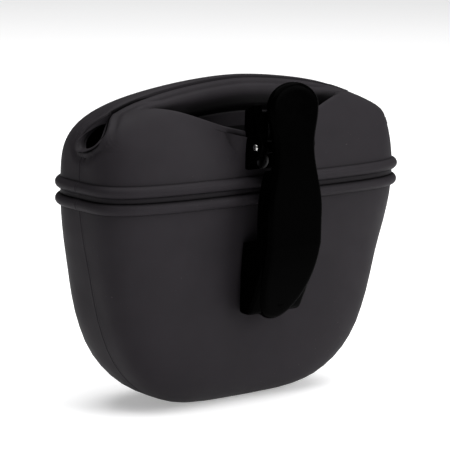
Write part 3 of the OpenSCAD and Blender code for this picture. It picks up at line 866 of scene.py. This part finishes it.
def arch_height(wall, x):
    """Height of the mouth arch at x."""
    s = wall.s
    side = clamp(np.abs(x) / (s.width / 2)) ** (1 / wall.ARCH_SIDE)
    return s.rib_z + (s.height - s.rib_z) * (1 - side) ** (1 / wall.ARCH_RISE)


def make_half(context, side, name, lip_node):
    """One half of the shell, blended from the pouch at the lip's root to the lip's own body."""
    points, faces, deep = shell_half(context, side)
    # only the clip-side half has the hand recess and its painted shade
    shade = deep if side == REAR else None
    half = new_piece(context, name, points, faces, "silicone", sharp_deg=48, shade=shade)
    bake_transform(half)
    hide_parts(lip_node, "pouch_body")
    return half


# ---------------------------------------------------------------- the clip


def ease(z, z0, z1, a, b):
    """Goes from a at z0 to b at z1 along half a cosine wave."""
    return a + (b - a) * (1 - np.cos(math.pi * clamp((z - z0) / (z1 - z0)))) / 2


class LeverShape:
    """Front outline and side profile of the clip's lever."""

    TIP_END_Z, BELLY_Z, CURL_Z = 62 * MM, 72 * MM, 60 * MM
    HEAD_R = 8.5 * MM
    TIP_ROUNDNESS = 2.6
    CURL, CURL_POWER = 10.5 * MM, 1.4
    LEAN, LEAN_POWER = 2.8 * MM, 1.2
    LOW_STEP = 0.2 * MM
    JAW_PLAY = 0.55 * MM
    JAW_INSET = 0.4 * MM
    FLANGE_RISE = 0.6 * MM
    SOFT = 0.9 * MM

    def __init__(self, clip, wall):
        self.c, self.wall = clip, wall
        self.tip_z, self.head_z = LEVER[0].z, LEVER[1].z
        self.waist_z = pin_axis()[1]
        self.head_mid_z = self.head_z - self.HEAD_R
        self.flange_top_z = BRACKET[0].z + self.FLANGE_RISE

    def half(self, z):
        """Half width of the outline at height z."""
        c = self.c
        down_tip = clamp((self.TIP_END_Z - z) / (self.TIP_END_Z - self.tip_z))
        up_head = clamp((z - self.head_mid_z) / (self.head_z - self.head_mid_z))
        tip = c.half_w * np.sqrt(np.maximum(0, 1 - down_tip ** self.TIP_ROUNDNESS))
        head = c.head_half * np.sqrt(np.maximum(0, 1 - up_head ** 2))
        waist = ease(z, self.BELLY_Z, self.waist_z, c.half_w, c.waist_half)
        neck = ease(z, self.waist_z, self.head_mid_z, c.waist_half, c.head_half)
        below = [z < self.BELLY_Z, z < self.waist_z, z < self.head_mid_z]
        return np.select(below, [tip, waist, neck], head)

    def face(self, z):
        """Distance of the outer face from the mouth plane: it curls in at the tip and leans in on top."""
        curl = self.CURL * clamp((self.CURL_Z - z) / (self.CURL_Z - self.tip_z)) ** self.CURL_POWER
        lean = self.LEAN * clamp((z - self.BELLY_Z) / (self.head_z - self.BELLY_Z)) ** self.LEAN_POWER
        return self.c.face_y - np.where(z < self.CURL_Z, self.LOW_STEP + curl, lean)

    def jaw_back(self, z):
        """Distance of the jaw's back from the mouth plane, a little off the wall."""
        return self.wall.depth(REAR, np.maximum(z, self.wall.s.belly_z)) + self.JAW_PLAY

    def back(self, z, y_share):
        """Rear of the lever: its plate, its jaw and, by y_share, the flanges between them."""
        c, soft = self.c, self.SOFT
        plate = self.face(z) - c.plate_t
        jaw = smooth((z - c.jaw_low_z + soft) / soft) * smooth((c.jaw_top_z + soft * 0.4 - z) / soft)
        flange = smooth((z - c.jaw_top_z + soft) / soft) * y_share
        flange = flange * smooth((self.flange_top_z + soft * 0.3 - z) / soft)
        jaw_back = lerp(plate, self.jaw_back(z) + self.JAW_INSET, jaw)
        return np.minimum(jaw_back, lerp(plate, c.flange_y, flange))


def lever_shape(context):
    wall = Wall(context.scene.pouch_sizes, context.scene.pouch_mouth)
    return LeverShape(context.scene.pouch_clip, wall)


def lever_outline(shape):
    """Right half of the lever's front outline from its tip to its top, and its outward directions."""
    turn = np.linspace(0, math.pi / 2, 26)
    round_step = np.array([-.9, -.6, -.3, 0, .3]) * MM
    straight_step = 0.7 * MM
    z = np.concatenate([
        shape.TIP_END_Z - (shape.TIP_END_Z - shape.tip_z) * np.cos(turn) ** 0.8,
        np.arange(shape.TIP_END_Z + straight_step, shape.head_mid_z, straight_step),
        shape.head_mid_z + (shape.head_z - shape.head_mid_z) * np.sin(turn),
        round_step + shape.c.jaw_top_z,
        round_step + shape.c.jaw_low_z,
        np.array([-.3, 0, .3, .6]) * MM + shape.flange_top_z,
    ])
    z = np.unique(np.round(z, 6))
    x = shape.half(z)
    x[0] = x[-1] = 0
    run = np.concatenate([[0], np.cumsum(np.hypot(np.diff(x), np.diff(z)))])
    tip_fill = np.interp(np.arange(0, run[6], 0.5 * MM), run, np.arange(len(run)))
    at = np.unique(np.concatenate([np.arange(len(run)), tip_fill]))
    x, z = np.interp(at, np.arange(len(x)), x), np.interp(at, np.arange(len(z)), z)
    tx, tz = np.gradient(x), np.gradient(z)
    tx[0], tz[0], tx[-1], tz[-1] = 1, 0, -1, 0
    size = np.hypot(tx, tz)
    return x, z, tz / size, -tx / size


def lever_mesh(context):
    """Points and faces of the lever: rings inside its outline over the face, the edge and the back."""
    clip, shape = context.scene.pouch_clip, lever_shape(context)
    x, z, nx, nz = lever_outline(shape)
    r = clip.edge_r
    rings = []

    def ring(inset, y_of):
        px, pz = x - nx * inset, z - nz * inset
        px[0] = px[-1] = 0
        rings.append(np.stack([np.maximum(px, 0), -y_of(pz), pz], -1))

    def outer_back(h):
        return shape.back(h, 1.0)

    def inner_back(h):
        return shape.back(h, 0.0)

    def flange_side(share_in):
        return lambda h: lerp(outer_back(h), inner_back(h), share_in)

    for inset in (5.2 * MM, 3.2 * MM):
        ring(inset, shape.face)
    for a in np.linspace(0, math.pi / 2, 7):
        ring(r * (1 - math.sin(a)), lambda h, a=a: shape.face(h) - r * (1 - math.cos(a)))
    for w in (0.15, 0.5, 0.85):
        ring(0, lambda h, w=w: lerp(shape.face(h) - r, outer_back(h) + 0.4 * MM, w))
    for inset, lift in ((0, 0.4 * MM), (0.12 * MM, 0.12 * MM)):
        ring(inset, lambda h, lift=lift: outer_back(h) + lift)
    ring(0.4 * MM, outer_back)
    ring(clip.flange_t - 0.3 * MM, outer_back)
    ring(clip.flange_t, flange_side(0.15))
    ring(clip.flange_t, flange_side(0.9))
    ring(clip.flange_t + 0.5 * MM, inner_back)
    ring(3.4 * MM, inner_back)
    front_fill = [rings[0] * [w, 1, 1] for w in (0.0, 0.34, 0.68)]
    back_fill = [rings[-1] * [w, 1, 1] for w in (0.68, 0.34, 0.0)]
    rows = np.array(front_fill + rings + back_fill)
    right = rows.reshape(-1, 3)
    faces = strip_faces(len(rows), len(x))
    faces += [tuple(i + len(right) for i in reversed(f)) for f in faces]
    return np.concatenate([right, right * [-1, 1, 1]]), faces


def jaw_mesh(context):
    """The jaw's block behind the lever's lower end: it keeps the lever's full width."""
    clip, shape = context.scene.pouch_clip, lever_shape(context)
    inside, half = 1.4 * MM, clip.half_w - 0.15 * MM
    heights = np.linspace(clip.jaw_low_z, clip.jaw_top_z - 0.2 * MM, 12)
    outline = [(inside - shape.face(z), z) for z in heights]
    outline += [(-float(shape.jaw_back(z)), z) for z in heights[::-1]]
    solid = bmesh.new()
    cap = solid.faces.new([solid.verts.new((-half, y, z)) for y, z in outline])
    pushed = bmesh.ops.extrude_face_region(solid, geom=[cap])["geom"]
    far_side = [g for g in pushed if isinstance(g, bmesh.types.BMVert)]
    bmesh.ops.translate(solid, vec=(2 * half, 0, 0), verts=far_side)
    bmesh.ops.recalc_face_normals(solid, faces=solid.faces)
    sharp = [e for e in solid.edges if e.calc_face_angle(0) > math.radians(35)]
    bmesh.ops.bevel(solid, geom=sharp, offset=1.5 * MM, segments=4, profile=0.5, affect="EDGES")
    return taken_from(solid)


def taken_from(solid):
    """Points and faces of a finished solid, which is then freed."""
    solid.verts.index_update()
    points = [tuple(v.co) for v in solid.verts]
    faces = [tuple(v.index for v in f.verts) for f in solid.faces]
    solid.free()
    return points, faces


def pin_axis():
    """Place of the hinge pin's axis along Y and Z."""
    return (PIN[0].y + PIN[1].y) / 2, (PIN[0].z + PIN[1].z) / 2


def knuckle_mesh(context):
    """The two bored lugs behind the lever's plate that turn on the pin, one on each side."""
    clip = context.scene.pouch_clip
    y, z = pin_axis()
    bore = (PIN[1].z - PIN[0].z) / 2 + 0.05 * MM
    outer_r = 2.7 * MM
    inner_x = 5.1 * MM
    points, faces = [], []
    for s in (-1, 1):
        ring = rounded([(inner_x, bore), (inner_x, outer_r), (clip.waist_half, outer_r),
                        (clip.waist_half, bore), (inner_x, bore)], 0.35 * MM, 3)
        more, quads = lathe([(s * d, r) for d, r in ring], (0, y, z), (1, 0, 0))
        faces += [tuple(i + len(points) for i in q) for q in quads]
        points += [tuple(p) for p in more]
    return points, faces


def spring_path(clip):
    """Centre line of the spring: a leg on the bracket, the coil, and a leg on the lever's head."""
    y, z = pin_axis()
    low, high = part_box("clip_spring")
    wire = clip.wire_d
    turns, steps = 6.5, 40
    half = high.x - wire / 2
    leg_z = high.z - wire / 2
    coil = []
    for i in range(int(steps * turns) + 1):
        turn = 2 * math.pi * i / steps
        x = -half + 2 * half * i / (steps * turns)
        coil.append((x, y + clip.coil_r * math.cos(turn), z - clip.coil_r * math.sin(turn)))
    return [(-half, high.y - wire / 2, leg_z)] + coil + [(half, low.y + wire / 2, leg_z)]


def spring_mesh(context):
    """The spring's round wire, swept along its centre line, with narrowed ends."""
    clip = context.scene.pouch_clip
    path = [Vector(p) for p in spring_path(clip)]
    dense = []
    for a, b in zip(path, path[1:]):
        pieces = max(1, round((b - a).length / (0.6 * MM)))
        dense += [a.lerp(b, k / pieces) for k in range(pieces)]
    dense.append(path[-1])
    sides = 12
    points = []
    for i, p in enumerate(dense):
        along = (dense[min(i + 1, len(dense) - 1)] - dense[max(i - 1, 0)]).normalized()
        u = along.cross(Vector((1, 0, 0))).normalized()
        v = along.cross(u)
        end = 0.45 if i in (0, len(dense) - 1) else 1.0
        for k in range(sides):
            a = 2 * math.pi * k / sides
            points.append(p + (u * math.cos(a) + v * math.sin(a)) * clip.wire_d / 2 * end)
    faces = strip_faces(len(dense), sides, closed=True)
    faces.append(tuple(range(sides)))
    faces.append(tuple(range(len(points) - 1, len(points) - 1 - sides, -1)))
    return points, faces


def bevelled_box(low, high, radius):
    """Points and faces of a box with rounded edges and corners."""
    solid = bmesh.new()
    bmesh.ops.create_cube(solid, size=1)
    for v in solid.verts:
        v.co = Vector([lerp(a, b, c + 0.5) for a, b, c in zip(low, high, v.co)])
    bmesh.ops.bevel(solid, geom=solid.edges[:] + solid.verts[:], offset=radius, segments=3,
                    profile=0.5, affect="EDGES")
    return taken_from(solid)


def dress(context, node, finish, bevel):
    """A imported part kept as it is, with its finish and softened edges."""
    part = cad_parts[node]
    part.data.materials.clear()
    part.data.materials.append(finish_of(context, finish))
    weld = part.modifiers.new("weld", "WELD")
    weld.merge_threshold = WELD
    edge = part.modifiers.new("edges", "BEVEL")
    edge.width = bevel
    edge.segments = 3
    edge.limit_method = "ANGLE"
    edge.angle_limit = math.radians(38)
    edge.harden_normals = True
    return part


# The turned domes: (distance in from the crown in mm, share of the radius there)
PIN_DOME = ((0, 0), (0.05, 0.45), (0.2, 0.82), (0.5, 1))
RIVET_DOME = ((0, 0), (0.06, 0.45), (0.3, 0.82), (0.6, 0.98), (0.9, 1))
RIVET_SHANK_R = 1.6 * MM


def dome(crown, inward, radius, shape):
    """Profile of a domed end from its crown to its full radius; inward is 1 or -1 along the axis."""
    return [(crown + inward * depth * MM, radius * part) for depth, part in shape]


def rivet_mesh(node):
    """A rivet along Y with a domed head at each end."""
    low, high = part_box(node)
    head_r = (high.x - low.x) / 2
    near, far = dome(low.y, 1, head_r, RIVET_DOME), dome(high.y, -1, head_r, RIVET_DOME)
    shank = [(near[-1][0], RIVET_SHANK_R), (far[-1][0], RIVET_SHANK_R)]
    centre = ((low.x + high.x) / 2, 0, (low.z + high.z) / 2)
    return lathe(near + shank + far[::-1], centre, (0, 1, 0))


# ---------------------------------------------------------------- operators


class Build(bpy.types.Operator):
    """A step of the build that can be undone"""

    bl_options = {"REGISTER", "UNDO"}


class POUCH_OT_front_half(Build):
    """Front half of the silicone shell, with the far lip of the mouth"""

    bl_idname = "treat_pouch.front_half"
    bl_label = "Front Half"

    def execute(self, context):
        make_half(context, FRONT, "front_half", "front_lip")
        return {"FINISHED"}


class POUCH_OT_rear_half(Build):
    """Clip-side half of the silicone shell, with the near lip and the hand recess"""

    bl_idname = "treat_pouch.rear_half"
    bl_label = "Rear Half"

    def execute(self, context):
        make_half(context, REAR, "rear_half", "rear_lip")
        return {"FINISHED"}


class POUCH_OT_magnets(Build):
    """Four plated bar magnets inside the lips"""

    bl_idname = "treat_pouch.magnets"
    bl_label = "Magnets"

    def execute(self, context):
        for lip in ("front", "rear"):
            for hand in ("left", "right"):
                node = f"{lip}_magnet_{hand}"
                points, faces = bevelled_box(*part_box(node), 0.8 * MM)
                bar = new_piece(context, f"{node}_bar", points, faces, "magnet_plating", f"{lip}_mouth")
                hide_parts(node)
        return {"FINISHED"}


class POUCH_OT_clip_lever(Build):
    """Polished lever of the belt clip, with its flanges, jaw and pin lugs"""

    bl_idname = "treat_pouch.clip_lever"
    bl_label = "Clip Lever"

    def execute(self, context):
        lever = new_piece(context, "lever_shell", *lever_mesh(context), "clip_plastic", "lever", 50)
        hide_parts("clip_lever")
        new_piece(context, "lever_jaw", *jaw_mesh(context), "clip_plastic", "lever", 50)
        new_piece(context, "lever_lugs", *knuckle_mesh(context), "clip_plastic", "lever")
        return {"FINISHED"}


class POUCH_OT_clip_base(Build):
    """Bracket on the pouch's seat and the plate that backs it inside"""

    bl_idname = "treat_pouch.clip_base"
    bl_label = "Clip Bracket"

    def execute(self, context):
        dress(context, "clip_bracket", "clip_plastic", 0.45 * MM)
        dress(context, "backing_plate", "clip_plastic", 0.3 * MM)
        return {"FINISHED"}


class POUCH_OT_clip_spring(Build):
    """Torsion spring round the hinge pin"""

    bl_idname = "treat_pouch.clip_spring"
    bl_label = "Clip Spring"

    def execute(self, context):
        spring = new_piece(context, "spring_wire", *spring_mesh(context), "spring_steel")
        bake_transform(spring)
        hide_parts("clip_spring")
        return {"FINISHED"}


class POUCH_OT_fasteners(Build):
    """Hinge pin with domed ends and two rivets with domed heads"""

    bl_idname = "treat_pouch.fasteners"
    bl_label = "Pin And Rivets"

    def execute(self, context):
        y, z = pin_axis()
        end = dome(PIN[1].x, -1, (PIN[1].z - PIN[0].z) / 2, PIN_DOME)
        profile = end + [(-along, radius) for along, radius in end[::-1]]
        points, faces = lathe(profile, (0, y, z), (1, 0, 0))
        pin = new_piece(context, "domed_pin", points, faces, "pin_steel", "pouch", 60)
        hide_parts("hinge_pin")
        for node in ("rivet_left", "rivet_right"):
            rivet = new_piece(context, f"{node}_domed", *rivet_mesh(node), "rivet_steel", "pouch", 40)
            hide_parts(node)
        return {"FINISHED"}


class POUCH_OT_stage(Build):
    """Pale floor, soft studio lights and the camera"""

    bl_idname = "treat_pouch.stage"
    bl_label = "Stage"

    def execute(self, context):
        scene = context.scene
        bpy.ops.mesh.primitive_plane_add(size=12, location=(0, 0, 0))
        floor = context.object
        floor.name = "floor"
        floor.data.materials.append(floor_material(scene.pouch_finishes))
        world = bpy.data.worlds.new("studio")
        world.use_nodes = True
        background = world.node_tree.nodes["Background"]
        background.inputs["Color"].default_value = (1, 1, 1, 1)
        background.inputs["Strength"].default_value = 0.18
        scene.world = world
        self.light("top_softbox", place=(0.1, -0.1, 1.2), target=(0, 0, 0.05), size=1.6, power=27)
        self.light("right_softbox", place=(0.75, -1.05, 0.55), target=(0, 0, 0.06), size=0.8, power=12)
        self.camera(scene)
        scene.view_settings.view_transform = "Standard"
        return {"FINISHED"}

    def light(self, name, place, target, size, power):
        lamp = bpy.data.lights.new(name, "AREA")
        lamp.shape = "SQUARE"
        lamp.size, lamp.energy = size, power
        made = bpy.data.objects.new(name, lamp)
        made.location = place
        aim = Vector(target) - Vector(place)
        made.rotation_euler = aim.to_track_quat("-Z", "Y").to_euler()
        bpy.context.scene.collection.objects.link(made)

    def camera(self, scene):
        azimuth, elevation, tilt = math.radians(-40.1), math.radians(10.5), math.radians(-1.4)
        distance, centre = 0.9583, Vector((0, 0, 0.0576))
        back = Vector((math.sin(azimuth) * math.cos(elevation), -math.cos(azimuth) * math.cos(elevation),
                       math.sin(elevation)))
        right = Vector((math.cos(azimuth), math.sin(azimuth), 0))
        up = back.cross(right)
        turned_right = right * math.cos(tilt) - up * math.sin(tilt)
        turned_up = right * math.sin(tilt) + up * math.cos(tilt)
        lens = bpy.data.cameras.new("camera")
        lens.lens, lens.sensor_width = 214.7, 36
        lens.shift_x, lens.shift_y = -0.012, 0.0277
        lens.clip_start, lens.clip_end = 0.05, 30
        made = bpy.data.objects.new("camera", lens)
        axes = Matrix((turned_right, turned_up, back)).transposed().to_4x4()
        made.matrix_world = Matrix.Translation(centre + back * distance) @ axes
        scene.collection.objects.link(made)
        scene.camera = made


OPERATORS = (
    POUCH_OT_front_half, POUCH_OT_rear_half, POUCH_OT_magnets, POUCH_OT_clip_lever, POUCH_OT_clip_base,
    POUCH_OT_clip_spring, POUCH_OT_fasteners, POUCH_OT_stage,
)


class POUCH_PT_panel(bpy.types.Panel):
    """Lists the pouch's pieces and their sizes"""

    bl_idname = "POUCH_PT_panel"
    bl_label = "Treat Pouch"
    bl_space_type = "VIEW_3D"
    bl_region_type = "UI"
    bl_category = "Treat Pouch"

    def draw(self, context):
        for operator in OPERATORS:
            self.layout.operator(operator.bl_idname)
        for group in GROUPS:
            box = self.layout.box()
            held = getattr(context.scene, group)
            for name in held.bl_rna.properties.keys():
                if name not in ("rna_type", "name"):
                    box.prop(held, name)


GROUPS = {
    "pouch_sizes": PouchSizes,
    "pouch_mouth": MouthSizes,
    "pouch_clip": ClipSizes,
    "pouch_finishes": Finishes,
}
CLASSES = (*GROUPS.values(), *OPERATORS, POUCH_PT_panel)


def register():
    for made in CLASSES:
        bpy.utils.register_class(made)
    for name, group in GROUPS.items():
        setattr(bpy.types.Scene, name, PointerProperty(type=group))


def unregister():
    for name in GROUPS:
        delattr(bpy.types.Scene, name)
    for made in reversed(CLASSES):
        bpy.utils.unregister_class(made)


def main():
    register()
    for operator in OPERATORS:
        group, name = operator.bl_idname.split(".")
        getattr(getattr(bpy.ops, group), name)()


if __name__ == "__main__":
    main()
